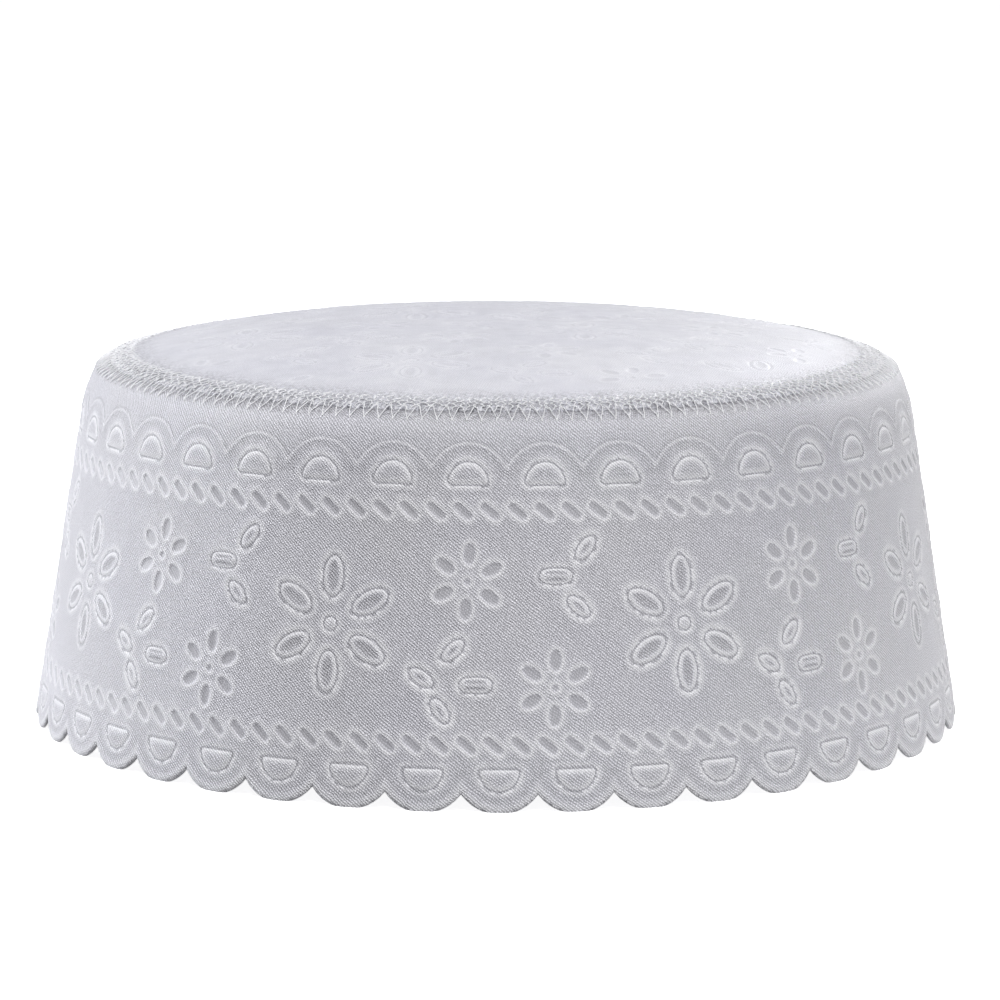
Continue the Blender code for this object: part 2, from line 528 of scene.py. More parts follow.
class DiscRow:
    """The outer line of a row of overlapping discs. A negative distance is inside them."""

    def __init__(self, centres, along, radius, stretch, sign, section, fade):
        self.centres = np.asarray(centres)
        self.along = along
        self.radius = radius
        self.stretch = stretch
        self.sign = sign
        self.section = section
        self.fade = fade
        near = along + sign * radius
        reach = max(abs(row[0]) for row in section)
        far = along + sign * (radius * 0.5 - reach)
        low = min(near + sign * reach, far)
        high = max(near + sign * reach, far)
        self.low = np.array([self.centres.min() - radius, low])
        self.high = np.array([self.centres.max() + radius, high])

    def distance(self, points):
        nearest = np.clip(np.searchsorted(self.centres, points[:, 0]), 1, len(self.centres) - 1)
        best = np.full(len(points), np.inf)
        for side in (nearest - 1, nearest):
            away = np.hypot((points[:, 0] - self.centres[side]) * self.stretch, points[:, 1] - self.along)
            best = np.minimum(best, away - self.radius)
        return best

    def ring(self, offset):
        radius = self.radius + offset
        half_turn = math.radians(80.0)
        count = int(round(2.0 * half_turn * radius / RING_STEP))
        turns = np.linspace(-half_turn, half_turn, count)
        x = self.centres[:, None] + radius * np.sin(turns)[None] / self.stretch
        y = self.along + self.sign * radius * np.cos(turns)[None] + 0.0 * x
        points = np.stack([x.ravel(), y.ravel()], -1)
        return points[np.abs(self.distance(points) - offset) < 0.05]

    def weight(self, points):
        """How much of the row's relief is left towards the back seam."""
        if not self.fade:
            return 1.0
        return np.clip((CHART_WIDTH / 2.0 - np.abs(points[:, 0]) - 1.0) / 1.5, 0.0, 1.0)


class SeamLine:
    """The two edges of the band's chart, which meet in the back seam."""

    def __init__(self, section):
        self.section = section
        self.low = np.array([-np.inf, -np.inf])
        self.high = np.array([np.inf, np.inf])

    def distance(self, points):
        return CHART_WIDTH / 2.0 - np.abs(points[:, 0])

    def ring(self, offset):
        if offset <= 0.0:
            return np.empty((0, 2))
        along = np.arange(0.6, LAP_END, 1.2)
        across = np.full(len(along), CHART_WIDTH / 2.0 - offset)
        return np.vstack([np.stack([side * across, along], -1) for side in (-1, 1)])

    def weight(self, _points):
        return 1.0


def relief(points, shapes, scale):
    """The rise of the cloth, the share that is pressed smooth and the tone of painted shade and highlight, at
    points of a chart.
    """
    rise = np.zeros(len(points))
    pressed = np.zeros(len(points))
    tone = np.zeros(len(points))
    order = np.argsort(points[:, 0])
    sorted_across = points[order, 0]
    for shape in shapes:
        first, last = np.searchsorted(sorted_across, (shape.low[0], shape.high[0]))
        near = order[first:last]
        along = points[near, 1]
        near = near[(along > shape.low[1]) & (along < shape.high[1])]
        away = shape.distance(points[near])
        places, rises, shares, tones = (list(column) for column in zip(*shape.section))
        beyond = (away > places[-1]) | ((away < places[0]) & (rises[0] == 0.0))
        weight = np.where(beyond, 0.0, shape.weight(points[near]))
        rise[near] += np.interp(away, places, rises) * weight * scale
        tone[near] += np.interp(away, places, tones) * weight
        pressed[near] = np.maximum(pressed[near], np.interp(away, places, shares) * weight)
    return rise, pressed, np.clip(tone, -1.0, 1.0)


def kept_apart(points, fixed, gap):
    """Which points lie at least a gap away from those before them. The first ones, the fixed, all stay."""
    cells = {}
    kept = []
    for index, (x, y) in enumerate(points):
        column, row = int(x // gap), int(y // gap)
        crowded = False
        if index >= fixed:
            for cell in ((column + i, row + j) for i in (-1, 0, 1) for j in (-1, 0, 1)):
                for other in cells.get(cell, ()):
                    if (points[other, 0] - x) ** 2 + (points[other, 1] - y) ** 2 < gap * gap:
                        crowded = True
        if not crowded:
            cells.setdefault((column, row), []).append(index)
            kept.append(index)
    return np.array(kept)


def ground_points(low, high, step):
    """A staggered grid of points."""
    rows = np.arange(low[1], high[1], step * 0.87)
    columns = np.arange(low[0], high[0], step)
    shift = (np.arange(len(rows)) % 2)[:, None] * step / 2.0
    x = columns[None] + shift
    y = rows[:, None] + 0.0 * x
    return np.stack([x.ravel(), y.ravel()], -1)


def triangulate(border, shapes, inside):
    """Points and triangles of a chart. The border's points are joined in a ring."""
    fixed = [border]
    edges = [(index, (index + 1) % len(border)) for index in range(len(border))]
    count = len(border)
    loose = []
    for shape in shapes:
        for offset, _rise, _pressed, _tone in shape.section:
            ring = shape.ring(offset)
            if offset == 0.0 and isinstance(shape, Outline):
                edges += [(count + index, count + (index + 1) % len(ring)) for index in range(len(ring))]
                fixed.append(ring)
                count += len(ring)
            elif len(ring):
                loose.append(ring[inside(ring, LEAST_GAP)])
    ground = ground_points(border.min(0), border.max(0), GROUND_STEP)
    ground = ground[inside(ground, 0.8)]
    points = np.vstack(fixed + loose)
    kept = kept_apart(points, count, LEAST_GAP)
    points = points[kept]
    crowd = np.vstack([points, ground])
    near_motif = kept_apart(crowd, len(points), GROUND_STEP * 0.42)
    points = crowd[near_motif]
    found = delaunay_2d_cdt([tuple(point) for point in points], edges, [], 0, 1e-5, False)
    places = np.array([tuple(point) for point in found[0]])
    triangles = np.array(found[2])
    return places, triangles[inside(places[triangles].mean(1), -1e-6)]


# Meshes


def closed_mesh(name, parts, smooth_angle):
    """One closed mesh from parts of (points in millimetres, faces, chart places, pressed shares, tones)."""
    mesh = bpy.data.meshes.new(name)
    corners, faces, places = [], [], []
    count = 0
    for points, part_faces, part_places, _pressed, _tone in parts:
        corners.append(points * MM)
        faces += [tuple(int(index) + count for index in face) for face in part_faces]
        places.append(part_places * MM)
        count += len(points)
    mesh.from_pydata(np.vstack(corners).tolist(), [], faces)
    chart = mesh.uv_layers.new(name="chart")
    loops = np.zeros(len(mesh.loops), np.int32)
    mesh.loops.foreach_get("vertex_index", loops)
    chart.data.foreach_set("uv", np.vstack(places)[loops].astype(np.float32).ravel())
    # The tone attribute is painted shade and painted highlight, which the satin puts into its colour
    for column, attribute in ((3, "pressed"), (4, "tone")):
        layer = mesh.attributes.new(attribute, "FLOAT", "POINT")
        layer.data.foreach_set("value", np.concatenate([part[column] for part in parts]).astype(np.float32))
    work = bmesh.new()
    work.from_mesh(mesh)
    bmesh.ops.remove_doubles(work, verts=work.verts, dist=2e-6)
    open_edges = sum(1 for edge in work.edges if len(edge.link_faces) != 2)
    if open_edges:
        work.free()
        raise RuntimeError(f"{name} has {open_edges} edges that aren't shared by two faces")
    if work.calc_volume(signed=True) < 0.0:
        bmesh.ops.reverse_faces(work, faces=work.faces)
    work.to_mesh(mesh)
    work.free()
    mesh.shade_smooth()
    mesh.set_sharp_from_angle(angle=smooth_angle)
    return mesh


def grid_faces(rows, columns):
    """Quads of a grid of points, row after row."""
    faces = []
    for row in range(rows - 1):
        for column in range(columns - 1):
            first = row * columns + column
            faces.append((first, first + columns, first + columns + 1, first + 1))
    return faces


def show(name, mesh, node, material):
    """Puts a finished mesh in the scene in place of a node of the frame."""
    piece = bpy.data.objects.new(name, mesh)
    bpy.context.scene.collection.objects.link(piece)
    mesh.materials.clear()
    mesh.materials.append(material)
    if node:
        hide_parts(node)
    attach(piece, "root")


def hem_line(across):
    """The height of the scalloped edge. Each scallop is an arc, trimmed flat at its lowest point."""
    pitch = float(plan_length(0.0)) / SCALLOPS
    place = across / CHART_WIDTH * SCALLOPS - SCALLOP_OFF_CENTRE
    share = place - np.round(place)
    radius = scallop_radius()
    return np.maximum(radius - np.sqrt(radius**2 - (share * pitch) ** 2) - HEM_TRIM, 0.0)


def scallop_radius():
    half = float(plan_length(0.0)) / SCALLOPS / 2.0
    return (half**2 + SCALLOP_DEPTH**2) / (2.0 * SCALLOP_DEPTH)


def hem_columns():
    """Where the hem's points stand on the chart, from one edge to the other."""
    count = SCALLOPS * POINTS_PER_SCALLOP
    pitch = CHART_WIDTH / count
    shift = SCALLOP_OFF_CENTRE * POINTS_PER_SCALLOP * pitch % pitch
    inner = shift + pitch * np.arange(count) - CHART_WIDTH / 2.0
    return np.concatenate(([-CHART_WIDTH / 2.0], inner, [CHART_WIDTH / 2.0]))


def band_shapes():
    """Every shape that is pressed into the band."""
    limit = CHART_WIDTH / 2.0 - 2.6
    shapes = []

    def press(outline, across, along, section):
        line = outline.copy()
        line[:, 0] = across + line[:, 0] / stretch_at(along)
        line[:, 1] += along
        if np.abs(line[:, 0]).max() < limit:
            shapes.append(Outline(line, section))

    repeats = int(CHART_WIDTH / REPEAT_WIDTH / 2.0) + 2
    for repeat in range(-repeats, repeats + 1):
        for name, right, up, lean in REPEAT_UNIT:
            for piece in motif_at(name, 0.0, REPEAT_MIDDLE + up, lean):
                across = REPEAT_START + repeat * REPEAT_WIDTH + right + piece.across / stretch_at(piece.along)
                press(piece.outline, across, piece.along, piece.section)
    for _name, height, first in DASH_ROWS:
        pitch = DASH["pitch"] / stretch_at(height)
        outline = turned(oval(DASH["length"], DASH["width"], 4.0), DASH["lean"])
        for index in range(-60, 61):
            press(outline, first / stretch_at(height) + index * pitch, height, PRESSED)
    top_stretch = stretch_at(TOP_MOON["height"])
    top = half_moon(TOP_MOON["width"], TOP_MOON["rise"], True)
    top_places = (TOP_MOON["first"] + MOON_PITCH * np.arange(-20, 21)) / top_stretch
    for across in top_places:
        press(top, across, TOP_MOON["height"], GROOVED)
    low = half_moon(LOW_MOON["width"], LOW_MOON["rise"], False)
    scallops = np.arange(-SCALLOPS // 2 - 2, SCALLOPS // 2 + 3)
    low_places = (scallops + SCALLOP_OFF_CENTRE) * CHART_WIDTH / SCALLOPS
    for across in low_places:
        press(low, across, LOW_MOON["height"], GROOVED)
    arch_rise = ARCH["top"] - ARCH["cusp"]
    arch_radius = ((MOON_PITCH / 2.0) ** 2 + arch_rise**2) / (2.0 * arch_rise)
    arch_centres = top_places[np.abs(top_places) < CHART_WIDTH / 2.0 + MOON_PITCH]
    arch_along = ARCH["top"] - arch_radius
    shapes.append(DiscRow(arch_centres, arch_along, arch_radius, top_stretch, 1.0, ARCHED, True))
    hem_stretch = stretch_at(0.0)
    hem_radius = scallop_radius()
    hem_along = hem_radius - HEM_TRIM
    shapes.append(DiscRow(low_places, hem_along, hem_radius, hem_stretch, -1.0, HEMMED, False))
    shapes.append(SeamLine(SEAMED))
    return shapes


def band_mesh(sizes):
    """The band: an embossed outer face, a rounded hem, a plain inner face and the lap under the crown."""
    columns = hem_columns()
    hem = hem_line(columns)
    sides = np.linspace(hem[0], LAP_END, 60)[1:-1]
    low = np.stack([columns, hem], -1)
    right = np.stack([np.full(len(sides), columns[-1]), sides], -1)
    top = np.stack([columns[::-1], np.full(len(columns), LAP_END)], -1)
    left = np.stack([np.full(len(sides), columns[0]), sides[::-1]], -1)
    border = np.vstack([low, right, top, left])

    def inside(points, margin):
        return (
            (points[:, 1] > hem_line(points[:, 0]) + margin)
            & (points[:, 1] < LAP_END - margin)
            & (np.abs(points[:, 0]) < CHART_WIDTH / 2.0 - margin)
        )

    shapes = band_shapes()
    places, triangles = triangulate(border, shapes, inside)
    rise, pressed, tone = relief(places, shapes, sizes.relief)
    # Painted shade: the band's colour darkens under the zigzag's threads and under the crown's edge
    for from_end, width, shade in ZIGZAG_SHADES:
        tone = tone - shade * np.clip((places[:, 1] - LAP_END + from_end) / width, 0.0, 1.0)
    outer = raised(band_surface, places[:, 0], places[:, 1], rise)
    outer[:, 2] = np.maximum(outer[:, 2], 0.0)
    low_rise = relief(low, shapes, sizes.relief)[0]
    lap = np.stack([columns, np.full(len(columns), LAP_END)], -1)
    lap_rise = relief(lap, shapes, sizes.relief)[0]
    level = np.ones(len(hem))
    rows = [(hem, low_rise), (hem - 0.01, low_rise - 0.25), (hem + 0.08, low_rise - 0.42)]
    rows += [(hem + lift, depth * level) for lift, depth in HEM_ROWS]
    rows += [(climb * level, -WALL * level) for climb in LINING_CLIMBS + (LAP_END - 0.3,)]
    rows += [(LAP_END * level, -WALL * 0.5 * level), (LAP_END * level, lap_rise)]
    inner = np.vstack([raised(band_surface, columns, climb, depth) for climb, depth in rows])
    inner[:, 2] = np.maximum(inner[:, 2], 0.0)
    inner_places = np.vstack([np.stack([columns, climb + depth], -1) for climb, depth in rows])
    faces = grid_faces(len(rows), len(columns))
    parts = [
        (outer, triangles, places, pressed, tone),
        (inner, faces, inner_places, np.zeros(len(inner)), np.zeros(len(inner))),
    ]
    return closed_mesh("cap_band", parts, math.radians(60))


def crown_shapes():
    """Every shape that is pressed into the crown."""
    shapes = []
    for row in range(4):
        middle = CROWN_FIRST_FLOWER[1] + row * CROWN_ROW_PITCH
        shift = (row % 2) * REPEAT_WIDTH / 2.0
        for repeat in range(-2, 3):
            start = CROWN_FIRST_FLOWER[0] + shift + repeat * REPEAT_WIDTH
            for name, right, up, lean in REPEAT_UNIT:
                pieces = motif_at(name, start + right, middle + up, lean)
                for piece in pieces:
                    line = piece.outline + (piece.across, piece.along)
                    if np.hypot(*line.T).max() < CROWN_PATTERN_RADIUS:
                        shapes.append(Outline(line, piece.section))
    return shapes


def crown_mesh(sizes):
    """The crown: an embossed dome, thinned at the edge that is sewn down."""
    turns = 2.0 * math.pi * np.arange(CROWN_RIM_POINTS) / CROWN_RIM_POINTS
    border = CROWN_RADIUS * np.stack([np.sin(turns), -np.cos(turns)], -1)

    def inside(points, margin):
        return np.hypot(*points.T) < CROWN_RADIUS - margin

    shapes = crown_shapes()
    places, triangles = triangulate(border, shapes, inside)
    rise, pressed, tone = relief(places, shapes, sizes.relief * CROWN_RELIEF)
    # Painted shade: the crown's colour darkens under its edge's binding threads
    for radius, width, shade in BOUND_SHADES:
        tone = tone - shade * np.clip((np.hypot(*places.T) - radius) / width, 0.0, 1.0)
    outer = raised(crown_surface, places[:, 0], places[:, 1], rise)
    around = np.append(turns, turns[0])
    rim = np.stack([np.sin(around), -np.cos(around)], -1)
    rings = []
    for share in CROWN_LINING_SHARES:
        radius = CROWN_RADIUS * share
        deep = np.clip((CROWN_RADIUS - radius) / CROWN_PRESS_WIDTH, 0.0, 1.0)
        wall = CROWN_EDGE_WALL + (CROWN_WALL - CROWN_EDGE_WALL) * deep
        rings.append((radius * rim, wall if rings else 0.0))
    inner = np.vstack([crown_surface(*ring.T) - (0.0, 0.0, wall) for ring, wall in rings])
    inner[: len(rim)] = raised(crown_surface, *rings[0][0].T, np.zeros(len(rim)))
    centre = inner[-len(rim) :].mean(0)
    faces = [face[::-1] for face in grid_faces(len(rings), len(rim))]
    last = (len(rings) - 1) * len(rim)
    faces += [(last + index + 1, last + index, len(inner)) for index in range(len(rim) - 1)]
    inner = np.vstack([inner, centre])
    parts = [
        (outer, triangles, places, pressed, tone),
        (inner, faces, inner[:, :2], np.zeros(len(inner)), np.zeros(len(inner))),
    ]
    return closed_mesh("cap_crown", parts, math.radians(60))


# Materials


def add_node(tree, kind, **values):
    """A node with some of its settings and unlinked sockets set by name."""
    node = tree.nodes.new(kind)
    for name, value in values.items():
        if hasattr(node, name):
            setattr(node, name, value)
        else:
            node.inputs[name].default_value = value
    return node


def maths(tree, operation, first, second=None):
    """A Math node on sockets or numbers. Gives its output socket."""
    node = tree.nodes.new("ShaderNodeMath")
    node.operation = operation
    for socket, value in zip(node.inputs, (first, second)):
        if isinstance(value, bpy.types.NodeSocket):
            tree.links.new(value, socket)
        elif value is not None:
            socket.default_value = value
    return node.outputs[0]


def new_group(name, inputs, outputs):
    """An empty shader node group with named sockets: (name, kind, default)."""
    group = bpy.data.node_groups.new(name, "ShaderNodeTree")
    for socket, kind, default in inputs:
        made = group.interface.new_socket(name=socket, in_out="INPUT", socket_type=kind)
        if default is not None:
            made.default_value = default
    for socket, kind in outputs:
        group.interface.new_socket(name=socket, in_out="OUTPUT", socket_type=kind)
    return group, group.nodes.new("NodeGroupInput"), group.nodes.new("NodeGroupOutput")


def slanted_wave(tree, vector, pitch, lean, stray):
    """A wave from 0 to 1. Its lines run down to the right, at an angle in degrees from the horizontal."""
    split = tree.nodes.new("ShaderNodeSeparateXYZ")
    tree.links.new(vector, split.inputs[0])
    angle = math.radians(lean)
    across = maths(tree, "MULTIPLY", split.outputs["X"], math.sin(angle))
    along = maths(tree, "MULTIPLY", split.outputs["Y"], math.cos(angle))
    place = maths(tree, "ADD", maths(tree, "DIVIDE", maths(tree, "ADD", across, along), pitch), stray)
    wave = maths(tree, "SINE", maths(tree, "MULTIPLY", place, 2.0 * math.pi))
    return maths(tree, "ADD", maths(tree, "MULTIPLY", wave, 0.5), 0.5)


def weave_group():
    """Twill lines crossed by the floats of the satin face, as a height and a shade."""
    group, given, out = new_group(
        "satin_weave",
        (
            ("Vector", "NodeSocketVector", None),
            ("Line Pitch", "NodeSocketFloat", 0.00046),
            ("Cross Pitch", "NodeSocketFloat", 0.00042),
            ("Pressed", "NodeSocketFloat", 0.0),
        ),
        (("Height", "NodeSocketFloat"), ("Shade", "NodeSocketFloat")),
    )
    vector = given.outputs["Vector"]
    drift = add_node(group, "ShaderNodeTexNoise", Scale=420.0, Detail=2.0, Roughness=0.6)
    group.links.new(vector, drift.inputs["Vector"])
    stray = maths(group, "MULTIPLY", drift.outputs["Fac"], 1.6)
    lines = slanted_wave(group, vector, given.outputs["Line Pitch"], TWILL_LEAN, stray)
    floats = slanted_wave(group, vector, given.outputs["Cross Pitch"], FLOAT_LEAN, stray)
    fibres = add_node(group, "ShaderNodeTexNoise", Scale=2600.0, Detail=2.0, Roughness=0.7)
    group.links.new(vector, fibres.inputs["Vector"])
    broken = maths(group, "ADD", maths(group, "MULTIPLY", floats, 0.95), 0.3)
    woven = maths(group, "ADD", maths(group, "MULTIPLY", lines, broken), 0.08)
    grain = maths(group, "MULTIPLY", maths(group, "SUBTRACT", fibres.outputs["Fac"], 0.5), 1.5)
    rough_weave = maths(group, "ADD", woven, grain)
    loose = maths(group, "SUBTRACT", 1.0, maths(group, "MULTIPLY", given.outputs["Pressed"], 0.7))
    height = maths(group, "MULTIPLY", rough_weave, loose)
    centred = maths(group, "MULTIPLY", maths(group, "SUBTRACT", rough_weave, 0.5), loose)
    shade = maths(group, "ADD", 0.5, centred)
    group.links.new(height, out.inputs["Height"])
    group.links.new(shade, out.inputs["Shade"])
    return group


def mottle_group():
    """Slow changes of colour and gloss over the cloth, as a mask from 0 to 1."""
    group, given, out = new_group(
        "soft_mottle",
        (("Vector", "NodeSocketVector", None), ("Scale", "NodeSocketFloat", 30.0)),
        (("Mask", "NodeSocketFloat"),),
    )
    noise = add_node(group, "ShaderNodeTexNoise", Detail=3.0, Roughness=0.5)
    group.links.new(given.outputs["Vector"], noise.inputs["Vector"])
    group.links.new(given.outputs["Scale"], noise.inputs["Scale"])
    spread = add_node(group, "ShaderNodeMapRange")
    spread.inputs["From Min"].default_value = 0.3
    spread.inputs["From Max"].default_value = 0.7
    group.links.new(noise.outputs["Fac"], spread.inputs["Value"])
    group.links.new(spread.outputs["Result"], out.inputs["Mask"])
    return group


def painted_light_group():
    """Paints shade into a cloth's colour in its creases and a highlight onto its ridges."""
    group, given, out = new_group(
        "painted_shade_and_highlight",
        (
            ("Color", "NodeSocketColor", None),
            ("Tone", "NodeSocketFloat", 0.0),
            ("Depth", "NodeSocketFloat", 0.3),
        ),
        (("Color", "NodeSocketColor"),),
    )
    low = maths(group, "MINIMUM", given.outputs["Tone"], 0.0)
    high = maths(group, "MAXIMUM", given.outputs["Tone"], 0.0)
    painted_crease_shade = group.nodes.new("ShaderNodeHueSaturation")
    value = maths(group, "ADD", 1.0, maths(group, "MULTIPLY", low, given.outputs["Depth"]))
    group.links.new(value, painted_crease_shade.inputs["Value"])
    group.links.new(given.outputs["Color"], painted_crease_shade.inputs["Color"])
    painted_ridge_highlight = add_node(group, "ShaderNodeMix", data_type="RGBA")
    # The colour that the ridges are lightened towards: a painted highlight
    painted_ridge_highlight.inputs[7].default_value = (0.97, 0.97, 0.98, 1.0)
    amount = maths(group, "MULTIPLY", high, given.outputs["Depth"])
    group.links.new(maths(group, "MULTIPLY", amount, 1.8), painted_ridge_highlight.inputs[0])
    group.links.new(painted_crease_shade.outputs["Color"], painted_ridge_highlight.inputs[6])
    group.links.new(painted_ridge_highlight.outputs[2], out.inputs["Color"])
    return group


def pucker_group():
    """Fine uneven puckers, from -0.5 to 0.5, in the cloth that the edge stitches draw together."""
    group, given, out = new_group(
        "puckered_edge", (("Vector", "NodeSocketVector", None),), (("Rise", "NodeSocketFloat"),)
    )
    noise = add_node(group, "ShaderNodeTexNoise", Scale=1500.0, Detail=2.0, Roughness=0.6)
    group.links.new(given.outputs["Vector"], noise.inputs["Vector"])
    spread = add_node(group, "ShaderNodeMapRange")
    spread.inputs["From Min"].default_value = 0.3
    spread.inputs["From Max"].default_value = 0.7
    spread.inputs["To Min"].default_value = -0.5
    spread.inputs["To Max"].default_value = 0.5
    group.links.new(noise.outputs["Fac"], spread.inputs["Value"])
    flat = add_node(group, "ShaderNodeVectorMath", operation="MULTIPLY")
    flat.inputs[1].default_value = (1.0, 1.0, 0.0)
    group.links.new(given.outputs["Vector"], flat.inputs[0])
    radius = add_node(group, "ShaderNodeVectorMath", operation="LENGTH")
    group.links.new(flat.outputs[0], radius.inputs[0])
    split = group.nodes.new("ShaderNodeSeparateXYZ")
    group.links.new(given.outputs["Vector"], split.inputs[0])
    rise = spread.outputs["Result"]
    limits = ((radius.outputs["Value"], PUCKER_RADII), (split.outputs["Z"], PUCKER_HEIGHTS))
    for value, (start, end) in limits:
        share = add_node(group, "ShaderNodeMapRange")
        share.inputs["From Min"].default_value = start * MM
        share.inputs["From Max"].default_value = end * MM
        group.links.new(value, share.inputs["Value"])
        rise = maths(group, "MULTIPLY", rise, share.outputs["Result"])
    group.links.new(rise, out.inputs["Rise"])
    return group


def shared_group(name, maker):
    """A node group that several materials use, made once."""
    return bpy.data.node_groups.get(name) or maker()


def satin_material(name, colour, line_pitch, contrast, weave_depth, painted_light_and_patch_depth, patchiness):
    """Woven satin: fine twill, smoother where it is pressed, with painted shade in its grooves and recesses
    and painted highlights on its ridges.
    """
    material = bpy.data.materials.new(name)
    material.use_nodes = True
    tree = material.node_tree
    shader = tree.nodes["Principled BSDF"]
    chart = add_node(tree, "ShaderNodeUVMap", uv_map="chart")
    pressed = add_node(tree, "ShaderNodeAttribute", attribute_name="pressed")
    weave = tree.nodes.new("ShaderNodeGroup")
    weave.node_tree = shared_group("satin_weave", weave_group)
    weave.inputs["Line Pitch"].default_value = line_pitch
    weave.inputs["Cross Pitch"].default_value = line_pitch * 0.92
    tree.links.new(chart.outputs["UV"], weave.inputs["Vector"])
    tree.links.new(pressed.outputs["Fac"], weave.inputs["Pressed"])
    mottle = tree.nodes.new("ShaderNodeGroup")
    mottle.node_tree = shared_group("soft_mottle", mottle_group)
    mottle.inputs["Scale"].default_value = 45.0
    place = tree.nodes.new("ShaderNodeTexCoord")
    tree.links.new(place.outputs["Object"], mottle.inputs["Vector"])
    tone = add_node(tree, "ShaderNodeValToRGB")
    dark = tuple(channel * (1.0 - contrast) for channel in colour[:3]) + (1.0,)
    light = tuple(min(channel * (1.0 + contrast * 0.5), 0.95) for channel in colour[:3]) + (1.0,)
    tone.color_ramp.elements[0].position = 0.15
    tone.color_ramp.elements[0].color = dark
    tone.color_ramp.elements[1].position = 0.85
    tone.color_ramp.elements[1].color = light
    tree.links.new(weave.outputs["Shade"], tone.inputs["Fac"])
    lavender = add_node(tree, "ShaderNodeMix", data_type="RGBA", blend_type="MULTIPLY")
    lavender.inputs[7].default_value = (0.975, 0.975, 1.0, 1.0)
    tree.links.new(mottle.outputs["Mask"], lavender.inputs[0])
    tree.links.new(tone.outputs["Color"], lavender.inputs[6])
    painted_light_colour = tree.nodes.new("ShaderNodeGroup")
    painted_light_colour.node_tree = shared_group("painted_shade_and_highlight", painted_light_group)
    painted_light_colour.inputs["Depth"].default_value = painted_light_and_patch_depth
    # The tone attribute is painted light: painted shade in the grooves, hollows and under the sewn edges, and
    # painted highlights on the ridges
    stretch = add_node(tree, "ShaderNodeAttribute", attribute_name="tone")
    cloud = tree.nodes.new("ShaderNodeGroup")
    cloud.node_tree = shared_group("soft_mottle", mottle_group)
    cloud.inputs["Scale"].default_value = 260.0
    tree.links.new(place.outputs["Object"], cloud.inputs["Vector"])
    patch = maths(tree, "MULTIPLY", maths(tree, "SUBTRACT", cloud.outputs["Mask"], 0.5), patchiness)
    pucker = tree.nodes.new("ShaderNodeGroup")
    pucker.node_tree = shared_group("puckered_edge", pucker_group)
    tree.links.new(place.outputs["Object"], pucker.inputs["Vector"])
    # Painted shade: the puckers' hollows are darkened and their tops lightened in the colour, besides their
    # bump
    painted_pucker_shade = maths(tree, "MULTIPLY", pucker.outputs["Rise"], PUCKER_SHADE / painted_light_and_patch_depth)
    shade = maths(tree, "ADD", stretch.outputs["Fac"], maths(tree, "ADD", patch, painted_pucker_shade))
    tree.links.new(shade, painted_light_colour.inputs["Tone"])
    tree.links.new(lavender.outputs[2], painted_light_colour.inputs["Color"])
    tree.links.new(painted_light_colour.outputs["Color"], shader.inputs["Base Color"])
    gloss = add_node(tree, "ShaderNodeMapRange")
    gloss.inputs["To Min"].default_value = 0.5
    gloss.inputs["To Max"].default_value = 0.4
    tree.links.new(mottle.outputs["Mask"], gloss.inputs["Value"])
    tree.links.new(gloss.outputs["Result"], shader.inputs["Roughness"])
    bump = add_node(tree, "ShaderNodeBump", Strength=1.0, Distance=weave_depth)
    drawn = maths(tree, "MULTIPLY", pucker.outputs["Rise"], PUCKER_DEPTH / weave_depth)
    tree.links.new(maths(tree, "ADD", weave.outputs["Height"], drawn), bump.inputs["Height"])
    tree.links.new(bump.outputs["Normal"], shader.inputs["Normal"])
    shader.inputs["Sheen Weight"].default_value = 0.15
    shader.inputs["Sheen Roughness"].default_value = 0.5
    shader.inputs["Specular IOR Level"].default_value = 0.45
    return material


def thread_material(colour):
    """Twisted white thread, its colour and surface broken by fine, uneven noise."""
    material = bpy.data.materials.new("white_thread")
    material.use_nodes = True
    tree = material.node_tree
    shader = tree.nodes["Principled BSDF"]
    place = tree.nodes.new("ShaderNodeTexCoord")
    strands = add_node(tree, "ShaderNodeTexNoise", Scale=4000.0, Detail=1.0)
    tree.links.new(place.outputs["Object"], strands.inputs["Vector"])
    tone = add_node(tree, "ShaderNodeValToRGB")
    tone.color_ramp.elements[0].position = 0.3
    tone.color_ramp.elements[0].color = tuple(channel * 0.85 for channel in colour[:3]) + (1.0,)
    tone.color_ramp.elements[1].position = 0.65
    tone.color_ramp.elements[1].color = tuple(colour)
    tree.links.new(strands.outputs["Fac"], tone.inputs["Fac"])
    tree.links.new(tone.outputs["Color"], shader.inputs["Base Color"])
    bump = add_node(tree, "ShaderNodeBump", Strength=0.4, Distance=0.00005)
    tree.links.new(strands.outputs["Fac"], bump.inputs["Height"])
    tree.links.new(bump.outputs["Normal"], shader.inputs["Normal"])
    shader.inputs["Roughness"].default_value = 0.5
    shader.inputs["Sheen Weight"].default_value = 0.2
    return material



# Stitches


def link_geometry(tree, *nodes):
    """Joins nodes in a row through their first geometry sockets."""
    for before, after in zip(nodes, nodes[1:]):
        source = next(socket for socket in before.outputs if socket.type == "GEOMETRY")
        target = next(socket for socket in after.inputs if socket.type == "GEOMETRY")
        tree.links.new(source, target)


